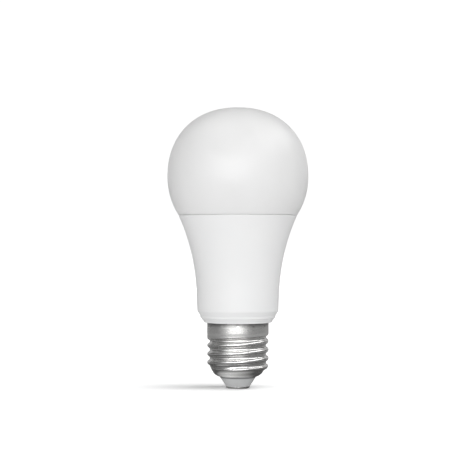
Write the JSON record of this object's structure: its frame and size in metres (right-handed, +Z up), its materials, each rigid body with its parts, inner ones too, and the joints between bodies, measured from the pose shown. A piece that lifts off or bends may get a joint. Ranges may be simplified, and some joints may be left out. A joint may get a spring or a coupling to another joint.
{
  "type": "smart light bulb",
  "caption": "Screw-cap LED smart bulb: frosted dome on a flared white housing, with LED ring, driver and radio board inside.",
  "frame": {"origin": "on the bulb's axis, at the flat underside of the centre contact", "axes": "+Z up the axis to the crown of the dome; -Y is the front; the driver board stands in the XZ plane"},
  "size_m": [0.06, 0.06, 0.1195],
  "materials": {
    "opal_polycarbonate": "frosted opal, satin",
    "white_polymer": "satin, finely textured",
    "nickel_plate": "satin nickel plate",
    "grey_insulator": "satin moulded",
    "silicone_sealant": "satin",
    "aluminium_sheet": "drawn, satin",
    "thermal_silicone": "matte",
    "white_led_board": "white solder mask",
    "led_white": "satin",
    "warm_phosphor": "gloss silicone",
    "cool_phosphor": "gloss silicone",
    "zinc_steel": "zinc plate",
    "connector_plastic": "satin",
    "black_plastic": "satin moulded",
    "tinned_metal": "bright tin",
    "solder": "bright solder",
    "board_laminate": "green solder mask",
    "capacitor_sleeve": "shrink sleeve",
    "varistor_coat": "dipped epoxy",
    "resistor_coat": "flameproof lacquer",
    "film_case": "moulded case",
    "ferrite": "ground ferrite",
    "copper_wire": "enamelled copper",
    "yellow_tape": "polyester tape",
    "chip_ceramic": "fired ceramic",
    "red_wire": "insulated wire",
    "black_wire": "insulated wire",
    "radio_laminate": "blue solder mask",
    "nickel_silver": "stamped can",
    "gold_trace": "gold flash"
  },
  "bodies": {
    "root": {"diffuser_dome": "opal_polycarbonate", "housing": "white_polymer", "driver_sleeve": "white_polymer", "screw_shell": "nickel_plate", "centre_contact": "nickel_plate", "contact_pin": "nickel_plate", "cap_insulator": "grey_insulator", "dome_sealant": "silicone_sealant", "heat_sink_cup": "aluminium_sheet", "thermal_pad": "thermal_silicone", "led_board": "white_led_board", "led_packages": "led_white", "warm_led_emitters": "warm_phosphor", "cool_led_emitters": "cool_phosphor", "led_board_screws": "zinc_steel", "led_socket": "connector_plastic", "link_pin_spacer": "black_plastic", "radio_header": "black_plastic", "transformer_bobbin": "black_plastic", "chip_bodies": "black_plastic", "rectifier_diodes": "black_plastic", "radio_chip": "black_plastic", "chip_resistors": "black_plastic", "link_pins": "tinned_metal", "component_leads": "tinned_metal", "chip_leads": "tinned_metal", "radio_header_pins": "tinned_metal", "solder_joints": "solder", "driver_board": "board_laminate", "bulk_capacitor": "capacitor_sleeve", "output_capacitor": "capacitor_sleeve", "varistor": "varistor_coat", "fuse_resistor": "resistor_coat", "film_capacitor": "film_case", "choke_core": "ferrite", "transformer_core": "ferrite", "choke_winding": "copper_wire", "transformer_winding": "yellow_tape", "chip_capacitors": "chip_ceramic", "live_wire": "red_wire", "neutral_wire": "black_wire", "radio_board": "radio_laminate", "radio_shield": "nickel_silver", "radio_antenna": "gold_trace"}
  },
  "joints": []
}
